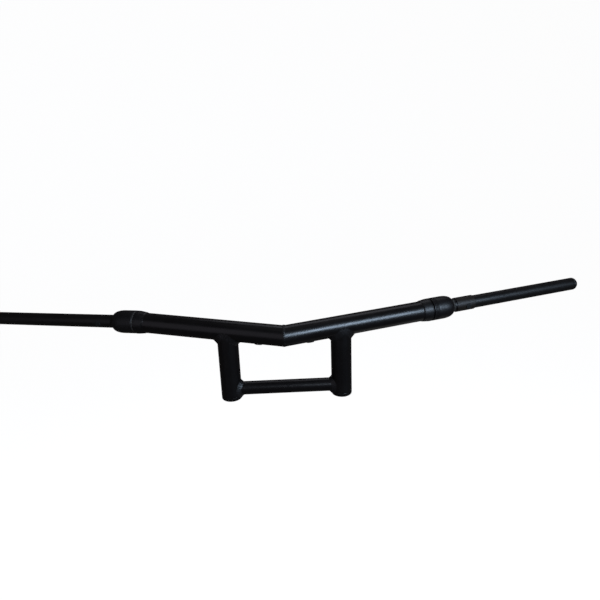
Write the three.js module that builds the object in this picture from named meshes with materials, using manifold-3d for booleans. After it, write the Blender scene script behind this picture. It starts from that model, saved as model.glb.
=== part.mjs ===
// A welded motorcycle handlebar of the T-bar kind: two fat main tubes meet in a shallow V, two
// risers with a brace between them carry it, and a thinner control tube leaves each end through
// a collar. Millimetres and degrees. +Z is up, -Y is the front of the motorcycle, and the ends
// sweep back towards +Y. The origin is midway between the two riser feet, on the plane that
// they stand on. Left is -X and right is +X, as seen from the front.
import * as THREE from "three";
import { mergeVertices } from "three/addons/utils/BufferGeometryUtils.js";
import Module from "manifold-3d";

const wasm = await Module();
wasm.setup();

// ---- Driving dimensions ----
const GAP = 0.3; // between two solids that touch
const SIDES = 36; // facets round a tube
const BEAD_SIDES = 8; // facets round a weld bead
const BEAD_STEPS = 36; // facets along a weld bead
const EDGE_STEPS = 5; // facets across a rounded edge

const MAIN_OD = 33.7;
const MAIN_WALL = 2.6;
const MAIN_SWEEP = 15.7; // how far each main tube is swept back
const MAIN_RISE = 2.3; // how far each main tube climbs outwards
const ARM_LENGTH = 297; // from the V to the collar's outer face

const CONTROL_OD = 22.2; // the size that levers, switches and grips clamp to
const CONTROL_WALL = 2;
const CONTROL_LENGTH = 262; // from the collar's outer face to the end of the plug
const CONTROL_INSERT = 12; // how deep its hidden end sits in the collar's end wall
const CONTROL_DROOP = { left: 3.7, right: 0 }; // how much flatter it lies than its main tube

const COLLAR_WALL = 2.5; // round the main tube
const COLLAR_LENGTH = 40;
const COLLAR_END_WALL = 14; // solid part of the collar, past the end of the main tube
const COLLAR_SHOULDER = 18; // length of the collar's rounded outer end
const COLLAR_MOUTH = 2; // width of the flat ring that the shoulder leaves round the control tube
const COLLAR_CHAMFER = 1; // on both edges of the joint between collar and skirt
const SKIRT_LENGTH = 17;
const SKIRT_TAPER = 11; // length of the skirt's cone
const SKIRT_LIP = 1; // thickness of the cone's thin edge

const RISER_OD = 33.7;
const RISER_WALL = 2.6;
const RISER_SPACING = 184; // between the two risers' axes
const RISER_HEIGHT = 120; // from the foot to the main tube's axis

const BUNG_FLANGE = 7; // thickness of the flange that forms the foot
const BUNG_LENGTH = 30;
const BUNG_ROUND = 4; // rounding of the foot's edge
const BOLT_HOLE = 10.2; // tapping size of an M12 thread

const BRACE_OD = 22.2;
const BRACE_WALL = 2;
const BRACE_CLEARANCE = 6.2; // under it, down to the feet

const PLUG_HEAD = 9;
const PLUG_STEM = 22;
const PLUG_ROUND = 5;

// A short sleeve thickens the right control tube next to its collar.
const SLEEVE_WALL = 0.9;
const SLEEVE_FROM = 8; // from the collar's outer face
const SLEEVE_TO = 43;

// A blanking grommet fills each wiring hole. Its place is given along the tube, from the collar's
// face or from the V, and round it, in degrees down from the front.
const CONTROL_GROMMET = { place: 29, hole: 7, lip: 1.6, height: 1.2, turn: 10 };
const MAIN_GROMMET = { place: 42, hole: 10, lip: 1.8, height: 1.5, turn: 90 };

// Weld beads: the radius of the bead, and how deep its centre lies under the surface.
const CENTRE_BEAD = { radius: 3, sunk: 2.1 };
const RISER_BEAD = { radius: 5, sunk: 0.2, flankSunk: 3.3 };
const BRACE_BEAD = { radius: 4.6, sunk: 0.4 };
const SKIRT_BEAD = { radius: 2.2, sunk: 0.7 };
const CONTROL_BEAD = { radius: 3.8, sunk: 0.4 };

// ---- Sizes that follow from them ----
const MAIN_R = MAIN_OD / 2;
const CONTROL_R = CONTROL_OD / 2;
const COLLAR_R = MAIN_R + COLLAR_WALL;
const RISER_R = RISER_OD / 2;
const BRACE_R = BRACE_OD / 2;
const BRACE_HEIGHT = BRACE_CLEARANCE + BRACE_R; // of its axis above the feet
const RISER_X = RISER_SPACING / 2;
const SWEEP = THREE.MathUtils.degToRad(MAIN_SWEEP);
const RISE = THREE.MathUtils.degToRad(MAIN_RISE);
const SLEEVE_R = CONTROL_R + GAP + SLEEVE_WALL;
const PIVOT = ARM_LENGTH - COLLAR_LENGTH; // along a main tube, where its control tube's droop starts
const MAIN_END = ARM_LENGTH - COLLAR_END_WALL;
const MOST_DROOP = THREE.MathUtils.degToRad(Math.max(CONTROL_DROOP.left, CONTROL_DROOP.right));
const SKIRT_BACK = COLLAR_R * Math.sin(MOST_DROOP); // room for a drooping collar's inner edge
const FACE = COLLAR_LENGTH; // along a control tube's axis, from the pivot to the collar's face
const CONTROL_START = FACE - CONTROL_INSERT;
const V_POINT = new THREE.Vector3(
  0,
  -RISER_X * Math.tan(SWEEP),
  RISER_HEIGHT - (RISER_X * Math.tan(RISE)) / Math.cos(SWEEP),
);

// ---- Materials ----
const satinBlack = () =>
  new THREE.MeshStandardMaterial({ color: 0x14151a, roughness: 0.38, metalness: 0.1 });
const weldBlack = () =>
  new THREE.MeshStandardMaterial({ color: 0x191a1d, roughness: 0.55, metalness: 0.1 });
const blackPlastic = () =>
  new THREE.MeshStandardMaterial({ color: 0x1b1b1d, roughness: 0.6, metalness: 0 });
const blackRubber = () =>
  new THREE.MeshStandardMaterial({ color: 0x0e0e0f, roughness: 0.85, metalness: 0 });

// ---- Frames: each is a group whose own +Y runs along its tube ----
const handlebar = new THREE.Group();

/** A group at a point of its parent, turned so that its +Y points along a direction. */
function frameAlong(parent, origin, direction) {
  const frame = new THREE.Group();
  frame.position.copy(origin);
  frame.quaternion.setFromUnitVectors(new THREE.Vector3(0, 1, 0), direction.clone().normalize());
  parent.add(frame);
  frame.updateMatrixWorld(true);
  return frame;
}

/** The frames of one half of the bar. */
function makeSide(name) {
  const sign = name === "left" ? -1 : 1;
  const along = new THREE.Vector3(
    sign * Math.cos(RISE) * Math.cos(SWEEP),
    Math.cos(RISE) * Math.sin(SWEEP),
    Math.sin(RISE),
  );
  const droop = RISE - THREE.MathUtils.degToRad(CONTROL_DROOP[name]);
  const outwards = new THREE.Vector3(
    sign * Math.cos(droop) * Math.cos(SWEEP),
    Math.cos(droop) * Math.sin(SWEEP),
    Math.sin(droop),
  );
  const middle = V_POINT.clone().addScaledVector(along, PIVOT);
  const foot = new THREE.Vector3(sign * RISER_X, 0, 0);
  return {
    name,
    sign,
    arm: frameAlong(handlebar, V_POINT, along),
    control: frameAlong(handlebar, middle, outwards),
    riser: frameAlong(handlebar, foot, new THREE.Vector3(0, 0, 1)),
  };
}

const SIDE = { left: makeSide("left"), right: makeSide("right") };
const ACROSS = new THREE.Vector3(1, 0, 0);
const V_FRAME = frameAlong(handlebar, V_POINT, ACROSS);
const BRACE_FRAME = frameAlong(handlebar, new THREE.Vector3(0, 0, BRACE_HEIGHT), ACROSS);

// ---- Solids ----
/** A closed three.js geometry as a solid. */
function solidOf(geometry) {
  const bare = geometry.clone();
  bare.deleteAttribute("normal");
  bare.deleteAttribute("uv");
  const merged = mergeVertices(bare, 1e-4);
  return new wasm.Manifold(
    new wasm.Mesh({
      numProp: 3,
      vertProperties: merged.attributes.position.array,
      triVerts: new Uint32Array(merged.index.array),
    }),
  );
}

/** A round bar along a frame's +Y from one height to another, in that frame. */
function roundBar(radius, from, to) {
  const bar = new THREE.CylinderGeometry(radius, radius, to - from, SIDES);
  bar.translate(0, (from + to) / 2, 0);
  return solidOf(bar);
}

/** A turned solid from an outline of [radius, height] corners that starts and ends on the axis. */
function turned(outline) {
  const points = outline.map(([radius, height]) => new THREE.Vector2(radius, height));
  return solidOf(new THREE.LatheGeometry(points, SIDES));
}

/** A solid of one frame, as it lies in another. */
function seenFrom(target, source, solid) {
  const change = target.matrixWorld.clone().invert().multiply(source.matrixWorld);
  return solid.transform(change.elements);
}

/** Adds a solid to a frame as a named mesh. */
function addPiece(frame, name, solid, material) {
  const made = solid.getMesh();
  const geometry = new THREE.BufferGeometry();
  geometry.setAttribute("position", new THREE.BufferAttribute(made.vertProperties, 3));
  geometry.setIndex(new THREE.BufferAttribute(made.triVerts, 1));
  geometry.computeVertexNormals();
  const mesh = new THREE.Mesh(geometry, material);
  mesh.name = name;
  frame.add(mesh);
}

/** Corners of a rounded edge, a quarter of an ellipse, from one [radius, height] to another. */
function roundedEdge(from, to) {
  const corners = [];
  for (let step = 0; step <= EDGE_STEPS; step += 1) {
    const angle = (step / EDGE_STEPS) * (Math.PI / 2);
    const radius = to[0] + (from[0] - to[0]) * Math.cos(angle);
    const height = from[1] + (to[1] - from[1]) * Math.sin(angle);
    corners.push([radius, height]);
  }
  return corners;
}

/**
 * A weld bead: a ring of round section about +Y, with each slice moved onto its seam. The seam
 * gives the slice's middle for an angle round +Y, counted from +X towards +Z.
 */
function bead(size, radius, seam) {
  const ring = new THREE.TorusGeometry(radius, size.radius, BEAD_SIDES, BEAD_STEPS);
  ring.rotateX(Math.PI / 2);
  const corners = ring.attributes.position;
  for (let index = 0; index < corners.count; index += 1) {
    const corner = new THREE.Vector3().fromBufferAttribute(corners, index);
    const angle = Math.atan2(corner.z, corner.x);
    corner.x -= radius * Math.cos(angle);
    corner.z -= radius * Math.sin(angle);
    corner.add(seam(angle));
    corners.setXYZ(index, corner.x, corner.y, corner.z);
  }
  return solidOf(ring);
}

/** A weld bead round a tube, on one side of the face that it is laid against. */
function ringBead(size, tubeRadius, height, side) {
  const radius = tubeRadius + GAP - size.sunk;
  const middle = height - side * size.sunk;
  const ring = bead(
    size,
    radius,
    (angle) => new THREE.Vector3(radius * Math.cos(angle), middle, radius * Math.sin(angle)),
  );
  const edge = height + side * GAP;
  const behind = edge - side * 4 * size.radius;
  const reach = 2 * (radius + size.radius);
  return ring.subtract(roundBar(reach, Math.min(edge, behind), Math.max(edge, behind)));
}

// Solid bars that hold each tube with a gap round it: what a neighbour is cut back by.
const mainRoom = () => roundBar(MAIN_R + GAP, -MAIN_OD, MAIN_END + GAP);
const controlRoom = () =>
  roundBar(CONTROL_R + GAP, CONTROL_START - GAP, FACE + CONTROL_LENGTH);
const riserRoom = () => roundBar(RISER_R + GAP, -GAP, RISER_HEIGHT);
const braceRoom = () => roundBar(BRACE_R + GAP, -RISER_X, RISER_X);

// ---- Wiring holes and their blanking grommets ----
/** A round bar that leaves a tube's axis sideways at a grommet's place. */
function sidewaysBar(frame, size, place, radius, from, to) {
  const turn = THREE.MathUtils.degToRad(size.turn);
  const outwards = new THREE.Vector3(0, -Math.cos(turn), -Math.sin(turn));
  outwards.applyQuaternion(frame.quaternion.clone().invert());
  outwards.setY(0).normalize();
  const bar = new THREE.CylinderGeometry(radius, radius, to - from, SIDES / 2);
  bar.translate(0, (from + to) / 2, 0);
  bar.applyQuaternion(new THREE.Quaternion().setFromUnitVectors(frame.up, outwards));
  bar.translate(0, place, 0);
  return solidOf(bar);
}

function grommetHole(frame, size, place) {
  return sidewaysBar(frame, size, place, size.hole / 2, 0, MAIN_OD);
}

/** A grommet: a flange that follows the tube's outside, and a neck through its wall. */
function grommet(frame, size, place, outerRadius, innerRadius) {
  const top = outerRadius + size.height;
  const flange = sidewaysBar(frame, size, place, size.hole / 2 + size.lip, 0, top);
  const tube = roundBar(outerRadius + GAP, place - size.hole * 2, place + size.hole * 2);
  const neckRadius = size.hole / 2 - GAP;
  const neck = sidewaysBar(frame, size, place, neckRadius, innerRadius - 1, outerRadius + GAP * 2);
  return flange.subtract(tube).add(neck);
}

// ---- Main tubes and the weld between them ----
/** Everything past the V on the other half's side, which a mitred tube is cut by. */
function otherHalf(side) {
  const reach = 3 * MAIN_OD;
  const half = new THREE.BoxGeometry(reach, reach, reach);
  half.translate((side.sign * (GAP - reach)) / 2, V_POINT.y, V_POINT.z);
  return seenFrom(side.arm, handlebar, solidOf(half));
}

function mainTube(side) {
  const outside = roundBar(MAIN_R, -MAIN_OD, MAIN_END);
  const inside = roundBar(MAIN_R - MAIN_WALL, -MAIN_OD - GAP, MAIN_END + GAP);
  const hole = grommetHole(side.arm, MAIN_GROMMET, MAIN_GROMMET.place);
  return outside.subtract(inside).subtract(otherHalf(side)).subtract(hole);
}

/** The bead over the mitre of the V, where the two tubes meet in an ellipse on the plane x = 0. */
function centreWeld() {
  const slope = new THREE.Vector2(-Math.cos(RISE) * Math.sin(SWEEP), Math.sin(RISE)).normalize();
  const short = MAIN_R - CENTRE_BEAD.sunk;
  const long = short / (Math.cos(RISE) * Math.cos(SWEEP));
  const ring = bead(CENTRE_BEAD, MAIN_R, (angle) => {
    const turned = angle - slope.angle();
    const along = long * Math.cos(turned);
    const across = short * Math.sin(turned);
    const x = slope.x * along - slope.y * across;
    const z = slope.y * along + slope.x * across;
    return new THREE.Vector3(x, 0, z);
  });
  const left = seenFrom(V_FRAME, SIDE.left.arm, mainRoom());
  const right = seenFrom(V_FRAME, SIDE.right.arm, mainRoom());
  return ring.subtract(left).subtract(right);
}

// ---- Risers ----
function riserTube(side) {
  const outside = roundBar(RISER_R, BUNG_FLANGE + GAP, RISER_HEIGHT);
  const inside = roundBar(RISER_R - RISER_WALL, BUNG_FLANGE, RISER_HEIGHT + GAP);
  return outside.subtract(inside).subtract(seenFrom(side.riser, side.arm, mainRoom()));
}

/**
 * The fillet where a riser's coped top meets the main tube. Its seam is where the two round
 * surfaces meet, and it is sunk deeper at the flanks, where they meet flush.
 */
function riserWeld(side) {
  const ring = bead(RISER_BEAD, RISER_R, (angle) => {
    const lineAngle = angle + side.sign * SWEEP;
    const flank = Math.sin(lineAngle) ** 8;
    const radius = RISER_R + GAP - RISER_BEAD.sunk - RISER_BEAD.flankSunk * flank;
    const aside = Math.min(RISER_R * Math.abs(Math.sin(lineAngle)), MAIN_R);
    const drop = Math.sqrt(MAIN_R ** 2 - aside ** 2) / Math.cos(RISE);
    const climb = side.sign * radius * Math.cos(lineAngle) * Math.tan(RISE);
    const height = RISER_HEIGHT + climb - drop;
    return new THREE.Vector3(radius * Math.cos(angle), height, radius * Math.sin(angle));
  });
  const main = seenFrom(side.riser, side.arm, mainRoom());
  return ring.subtract(riserRoom()).subtract(main);
}

/** The threaded bung in a riser's foot, with a flange as wide as the riser. */
function riserBung() {
  const spigot = RISER_R - RISER_WALL - GAP;
  const body = turned([
    [0, 0],
    ...roundedEdge([RISER_R, BUNG_ROUND], [RISER_R - BUNG_ROUND, 0]).reverse(),
    [RISER_R, BUNG_FLANGE],
    [spigot, BUNG_FLANGE],
    [spigot, BUNG_LENGTH],
    [0, BUNG_LENGTH],
  ]);
  return body.subtract(roundBar(BOLT_HOLE / 2, -GAP, BUNG_LENGTH + GAP));
}

// ---- Brace ----
function braceTube() {
  const outside = roundBar(BRACE_R, -RISER_X, RISER_X);
  const inside = roundBar(BRACE_R - BRACE_WALL, -RISER_X - GAP, RISER_X + GAP);
  const left = seenFrom(BRACE_FRAME, SIDE.left.riser, riserRoom());
  const right = seenFrom(BRACE_FRAME, SIDE.right.riser, riserRoom());
  return outside.subtract(inside).subtract(left).subtract(right);
}

/** The fillet round one end of the brace, which follows the riser's round face. */
function braceWeld(side) {
  const radius = BRACE_R + GAP - BRACE_BEAD.sunk;
  const ring = bead(BRACE_BEAD, radius, (angle) => {
    const aside = radius * Math.cos(angle);
    const reach = Math.sqrt(RISER_R ** 2 - aside ** 2) + GAP - BRACE_BEAD.sunk;
    return new THREE.Vector3(aside, side.sign * (RISER_X - reach), radius * Math.sin(angle));
  });
  const riser = seenFrom(BRACE_FRAME, side.riser, riserRoom());
  return ring.subtract(riser).subtract(braceRoom());
}

// ---- Collars and skirts ----
/** The domed collar that caps a main tube and takes the control tube through its end. */
function collar(side) {
  const body = turned([
    [0, GAP],
    [COLLAR_R - COLLAR_CHAMFER, GAP],
    [COLLAR_R, GAP + COLLAR_CHAMFER],
    ...roundedEdge([COLLAR_R, FACE - COLLAR_SHOULDER], [CONTROL_R + COLLAR_MOUTH, FACE]),
    [0, FACE],
  ]);
  const main = seenFrom(side.control, side.arm, mainRoom());
  return body.subtract(main).subtract(controlRoom());
}

/** The tapered ring behind a collar, which leads its diameter down to the main tube's. */
function skirt() {
  const body = turned([
    [0, PIVOT - SKIRT_LENGTH],
    [MAIN_R + SKIRT_LIP, PIVOT - SKIRT_LENGTH],
    [COLLAR_R, PIVOT - SKIRT_LENGTH + SKIRT_TAPER],
    [COLLAR_R, PIVOT - COLLAR_CHAMFER - SKIRT_BACK],
    [COLLAR_R - COLLAR_CHAMFER, PIVOT - SKIRT_BACK],
    [0, PIVOT - SKIRT_BACK],
  ]);
  return body.subtract(mainRoom());
}

function skirtWeld() {
  return ringBead(SKIRT_BEAD, MAIN_R, PIVOT - SKIRT_LENGTH, -1).subtract(mainRoom());
}

function controlWeld() {
  return ringBead(CONTROL_BEAD, CONTROL_R, FACE, 1).subtract(controlRoom());
}

// ---- Control tubes ----
const GROMMET_PLACE = FACE + CONTROL_GROMMET.place;

function controlTube(side) {
  const to = FACE + CONTROL_LENGTH - PLUG_HEAD - GAP;
  const outside = roundBar(CONTROL_R, CONTROL_START, to);
  const inside = roundBar(CONTROL_R - CONTROL_WALL, CONTROL_START - GAP, to + GAP);
  const hole = grommetHole(side.control, CONTROL_GROMMET, GROMMET_PLACE);
  return outside.subtract(inside).subtract(hole);
}

function controlSleeve(side) {
  const sleeve = roundBar(SLEEVE_R, FACE + SLEEVE_FROM, FACE + SLEEVE_TO);
  const hole = grommetHole(side.control, CONTROL_GROMMET, GROMMET_PLACE);
  return sleeve.subtract(controlRoom()).subtract(hole);
}

/** The push-in plug that closes a control tube's end. */
function endPlug() {
  const end = FACE + CONTROL_LENGTH;
  const stem = CONTROL_R - CONTROL_WALL - GAP;
  return turned([
    [0, end - PLUG_HEAD - PLUG_STEM],
    [stem - 1, end - PLUG_HEAD - PLUG_STEM],
    [stem, end - PLUG_HEAD - PLUG_STEM + 2],
    [stem, end - PLUG_HEAD],
    [CONTROL_R, end - PLUG_HEAD],
    ...roundedEdge([CONTROL_R, end - PLUG_ROUND], [CONTROL_R - PLUG_ROUND, end]),
    [0, end],
  ]);
}

// ---- The whole handlebar ----
addPiece(V_FRAME, "centre_weld", centreWeld(), weldBlack());
addPiece(BRACE_FRAME, "brace_tube", braceTube(), satinBlack());
for (const side of [SIDE.left, SIDE.right]) {
  const { name, arm, control, riser } = side;
  const mainHole = MAIN_GROMMET.place;
  const mainPlug = grommet(arm, MAIN_GROMMET, mainHole, MAIN_R, MAIN_R - MAIN_WALL);
  const seat = name === "right" ? SLEEVE_R : CONTROL_R;
  const bore = CONTROL_R - CONTROL_WALL;
  const controlPlug = grommet(control, CONTROL_GROMMET, GROMMET_PLACE, seat, bore);
  addPiece(arm, `main_tube_${name}`, mainTube(side), satinBlack());
  addPiece(arm, `main_grommet_${name}`, mainPlug, blackRubber());
  addPiece(arm, `collar_skirt_${name}`, skirt(), satinBlack());
  addPiece(arm, `skirt_weld_${name}`, skirtWeld(), weldBlack());
  addPiece(riser, `riser_tube_${name}`, riserTube(side), satinBlack());
  addPiece(riser, `riser_weld_${name}`, riserWeld(side), weldBlack());
  addPiece(riser, `riser_bung_${name}`, riserBung(), satinBlack());
  addPiece(BRACE_FRAME, `brace_weld_${name}`, braceWeld(side), weldBlack());
  addPiece(control, `collar_${name}`, collar(side), satinBlack());
  addPiece(control, `control_tube_${name}`, controlTube(side), satinBlack());
  addPiece(control, `control_weld_${name}`, controlWeld(), weldBlack());
  addPiece(control, `control_grommet_${name}`, controlPlug, blackRubber());
  addPiece(control, `end_plug_${name}`, endPlug(), blackPlastic());
}
addPiece(SIDE.right.control, "control_sleeve_right", controlSleeve(SIDE.right), satinBlack());

export default handlebar;
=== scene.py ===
"""Looks of a welded black motorcycle handlebar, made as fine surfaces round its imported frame.

Sizes are in millimetres and degrees until a mesh is made. Places are in the part's own frame:
+X to the right seen from the front, +Z up, and -Y to the front, where the camera stands.
"""

import logging
import math
from collections.abc import Sequence
from dataclasses import dataclass, field
from enum import Enum, IntEnum
from typing import Any

import bmesh
import bpy
import numpy as np
from mathutils import Matrix, Vector


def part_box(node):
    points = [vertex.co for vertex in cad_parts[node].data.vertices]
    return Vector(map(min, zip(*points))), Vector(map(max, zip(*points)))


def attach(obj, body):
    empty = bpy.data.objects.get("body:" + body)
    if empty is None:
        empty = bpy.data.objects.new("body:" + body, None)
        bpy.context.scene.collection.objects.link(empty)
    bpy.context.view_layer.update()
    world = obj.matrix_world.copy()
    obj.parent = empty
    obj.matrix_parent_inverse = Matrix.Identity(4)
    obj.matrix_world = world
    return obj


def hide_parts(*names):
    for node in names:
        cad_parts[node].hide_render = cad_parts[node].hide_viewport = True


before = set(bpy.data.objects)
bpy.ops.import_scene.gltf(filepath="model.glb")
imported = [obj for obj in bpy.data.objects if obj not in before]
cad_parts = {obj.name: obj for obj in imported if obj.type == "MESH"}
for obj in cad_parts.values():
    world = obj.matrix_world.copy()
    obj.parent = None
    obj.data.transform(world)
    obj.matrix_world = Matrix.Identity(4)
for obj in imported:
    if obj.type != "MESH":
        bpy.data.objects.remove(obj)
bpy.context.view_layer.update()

LOG = logging.getLogger("handlebar")
AROUND = 96  # steps round a tube
SEAM_STEPS = 2 * AROUND  # steps along a weld's seam
TENT_STEPS = 64  # steps round the studio's tent, and up it
CORNER_STEPS = 7  # points along a rounded corner
DOME_STEPS = 22  # points along a collar's dome
LONGEST_STEP = 4.0  # along a section, in millimetres
CREASE = 42.0  # degrees; steeper edges are shaded sharp
MM = 0.001  # metres in a millimetre
BODY = "root"
MIX_COLOURS = {"data_type": "RGBA"}  # settings of a Mix node for colours
MIXED_COLOUR = 2  # the number of that node's output
Socket = bpy.types.NodeSocket


class Side(Enum):
    """The two halves of the bar; the value is the sign of X."""

    LEFT = -1
    RIGHT = 1

    @property
    def label(self) -> str:
        """The half's name as the nodes' names end in it."""
        return self.name.lower()


class Slot(Enum):
    """The record's material slots."""

    COAT = "satin_black_coat"
    WELD = "weld_bead_coat"
    PLASTIC = "black_plastic_plug"
    RUBBER = "black_rubber_grommet"


class Ends(Enum):
    """How a grid's rows close: round into a ring, or each end row drawn together to one point."""

    RING = "ring"
    POLES = "poles"


class Mix(IntEnum):
    """Inputs of a Mix node by number, because its names repeat."""

    SHARE = 0
    FIRST_VALUE = 2
    SECOND_VALUE = 3
    FIRST_COLOUR = 6
    SECOND_COLOUR = 7


# ---- Sizes and places ----


def unit(vectors: np.ndarray) -> np.ndarray:
    """Vectors of length one along these."""
    return vectors / np.linalg.norm(vectors, axis=-1, keepdims=True)


def once_round(steps: int = AROUND) -> np.ndarray:
    """Evenly spaced angles once round, without the last, which would repeat the first."""
    return np.linspace(0.0, 2 * np.pi, steps, endpoint=False)


def bearing(azimuth: float, elevation: float) -> Vector:
    """Points from the bar towards a light or the camera.

    The vector's x and -y are the sine and the cosine of the azimuth, both times the cosine of
    the elevation, and its z is the sine of the elevation.

    Args:
        azimuth: Degrees from the front, growing to the right.
        elevation: Degrees above level.

    Returns:
        The unit vector.
    """
    turn, climb = math.radians(azimuth), math.radians(elevation)
    level = math.cos(climb)
    return Vector((math.sin(turn) * level, -math.cos(turn) * level, math.sin(climb)))


@dataclass(frozen=True)
class BarSizes:
    """The bar's driving sizes, as its frame has them."""

    gap: float = 0.3
    main_od: float = 33.7
    main_wall: float = 2.6
    main_sweep: float = 15.7
    main_rise: float = 2.3
    arm_length: float = 297.0
    control_od: float = 22.2
    control_wall: float = 2.0
    control_length: float = 262.0
    control_insert: float = 12.0
    sleeve_wall: float = 0.9
    left_droop: float = 3.7
    collar_wall: float = 2.5
    collar_length: float = 40.0
    collar_end_wall: float = 14.0
    skirt_length: float = 17.0
    riser_od: float = 33.7
    riser_wall: float = 2.6
    brace_od: float = 22.2
    brace_wall: float = 2.0
    bung_flange: float = 7.0
    plug_head: float = 9.0


@dataclass(frozen=True)
class Axis:
    """A tube's centre line: a point on it, its direction, and two unit vectors across it."""

    origin: np.ndarray
    along: np.ndarray
    across: np.ndarray
    over: np.ndarray

    @staticmethod
    def through(origin: np.ndarray, direction: np.ndarray) -> "Axis":
        """Makes an axis through a point.

        Args:
            origin: The point that heights are counted from.
            direction: Where heights grow.

        Returns:
            The axis, with its first crosswise vector level unless the axis is upright.
        """
        along = unit(direction)
        upright = abs(along[2]) > 0.99
        level = np.array([1.0, 0.0, 0.0]) if upright else np.cross(along, [0.0, 0.0, 1.0])
        across = unit(level)
        return Axis(origin, along, across, np.cross(along, across))

    def outward(self, angles: np.ndarray) -> np.ndarray:
        """Unit vectors away from the axis at these angles round it."""
        return np.cos(angles)[..., None] * self.across + np.sin(angles)[..., None] * self.over

    def points(self, heights: np.ndarray, radii: np.ndarray, angles: np.ndarray) -> np.ndarray:
        """Places points round the axis: origin, plus height along it, plus radius away from it.

        Args:
            heights: Distances along the axis.
            radii: Distances from the axis.
            angles: Angles round the axis; the three arrays broadcast together.

        Returns:
            The points, with a last dimension of three.
        """
        heights, radii, angles = np.broadcast_arrays(heights, radii, angles)
        return self.origin + heights[..., None] * self.along + radii[..., None] * self.outward(angles)

    def away(self, points: np.ndarray) -> np.ndarray:
        """Unit vectors from the axis to these points, square to it."""
        offset = points - self.origin
        return unit(offset - (offset @ self.along)[..., None] * self.along)

    def onto(self, points: np.ndarray, radius: float) -> np.ndarray:
        """Moves points straight away from the axis, or to it, until they are at this radius."""
        middle = self.origin + ((points - self.origin) @ self.along)[..., None] * self.along
        return middle + radius * self.away(points)


class Layout:
    """Where the bar's centre lines lie, from the frame's boxes and the bar's angles."""

    def __init__(self, sizes: BarSizes) -> None:
        """Reads the places of the V and of the brace.

        Args:
            sizes: The bar's sizes.
        """
        self.sizes = sizes
        self.vee = self.middle_of("centre_weld")
        self.brace = Axis.through(self.middle_of("brace_tube"), np.array([1.0, 0.0, 0.0]))

    @staticmethod
    def middle_of(node: str) -> np.ndarray:
        """The middle of a node's box, in millimetres."""
        low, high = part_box(node)
        return np.array((low + high) / 2) / MM

    def direction(self, side: Side, rise: float) -> np.ndarray:
        """Points along a tube that is swept back and climbs outwards.

        Args:
            side: The half of the bar.
            rise: How steeply the tube climbs outwards, in degrees.

        Returns:
            The unit vector.
        """
        sweep = math.radians(self.sizes.main_sweep)
        climb = math.radians(rise)
        level = math.cos(climb)
        return np.array(
            [side.value * level * math.cos(sweep), level * math.sin(sweep), math.sin(climb)]
        )

    def arm(self, side: Side) -> Axis:
        """A main tube's axis; heights count from the V."""
        return Axis.through(self.vee, self.direction(side, self.sizes.main_rise))

    def control(self, side: Side) -> Axis:
        """Finds a control tube's centre line.

        Args:
            side: The half of the bar.

        Returns:
            The axis; heights count from its collar's inner edge.
        """
        sizes = self.sizes
        droop = sizes.left_droop if side is Side.LEFT else 0.0
        arm = self.arm(side)
        pivot = arm.origin + (sizes.arm_length - sizes.collar_length) * arm.along
        return Axis.through(pivot, self.direction(side, sizes.main_rise - droop))

    def riser(self, side: Side) -> Axis:
        """Finds a riser's centre line.

        Args:
            side: The half of the bar.

        Returns:
            The axis; heights count from its foot.
        """
        low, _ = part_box(f"riser_bung_{side.label}")
        middle = self.middle_of(f"riser_bung_{side.label}")
        foot = np.array([middle[0], middle[1], low.z / MM])
        return Axis.through(foot, np.array([0.0, 0.0, 1.0]))

    def saddle(self, side: Side, radii: np.ndarray, angles: np.ndarray, soft: float) -> np.ndarray:
        """How high a riser's wall meets the underside of its main tube.

        The height is that of the main tube's axis over the wall, less the square root of the
        tube's radius squared minus the wall's distance aside squared. A soft term under the
        root rounds off the two peaks where the walls meet flush.

        Args:
            side: The half of the bar.
            radii: Distances of the wall from the riser's axis.
            angles: Angles round the riser.
            soft: How far the peaks are lowered.

        Returns:
            Heights above the riser's foot.
        """
        arm, riser = self.arm(side), self.riser(side)
        wall = radii[..., None] * riser.outward(angles)
        level = unit(arm.along[:2])
        ahead = wall[..., :2] @ level
        aside = wall[..., 0] * level[1] - wall[..., 1] * level[0]
        slope = arm.along[2] / np.linalg.norm(arm.along[:2])
        reach = (riser.origin - arm.origin)[:2] @ level
        middle = arm.origin[2] - riser.origin[2] + (reach + ahead) * slope
        room = np.clip((self.sizes.main_od / 2) ** 2 - aside**2, 0.0, None)
        return middle - np.sqrt(room + soft**2) * math.sqrt(1 + slope**2)


# ---- Surfaces ----


def eased(values: np.ndarray, start: float, end: float) -> np.ndarray:
    """A straight ramp from 0 at start to 1 at end, flat outside them."""
    return np.clip((values - start) / (end - start), 0.0, 1.0)


def spaced(points: np.ndarray, longest: float = LONGEST_STEP) -> np.ndarray:
    """Adds points to a path of straight stretches.

    Args:
        points: The path's corners, as radius and height.
        longest: The longest step that is left.

    Returns:
        The corners, with evenly spaced points between them.
    """
    lengths = np.linalg.norm(np.diff(points, axis=0), axis=1)
    stations = np.concatenate([[0.0], np.cumsum(lengths)])
    counts = np.maximum(np.ceil(lengths / longest).astype(int), 1)
    steps = np.repeat(lengths / counts, counts)
    fine = np.concatenate([[0.0], np.cumsum(steps)])
    return np.column_stack([np.interp(fine, stations, points[:, axis]) for axis in (0, 1)])


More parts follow.
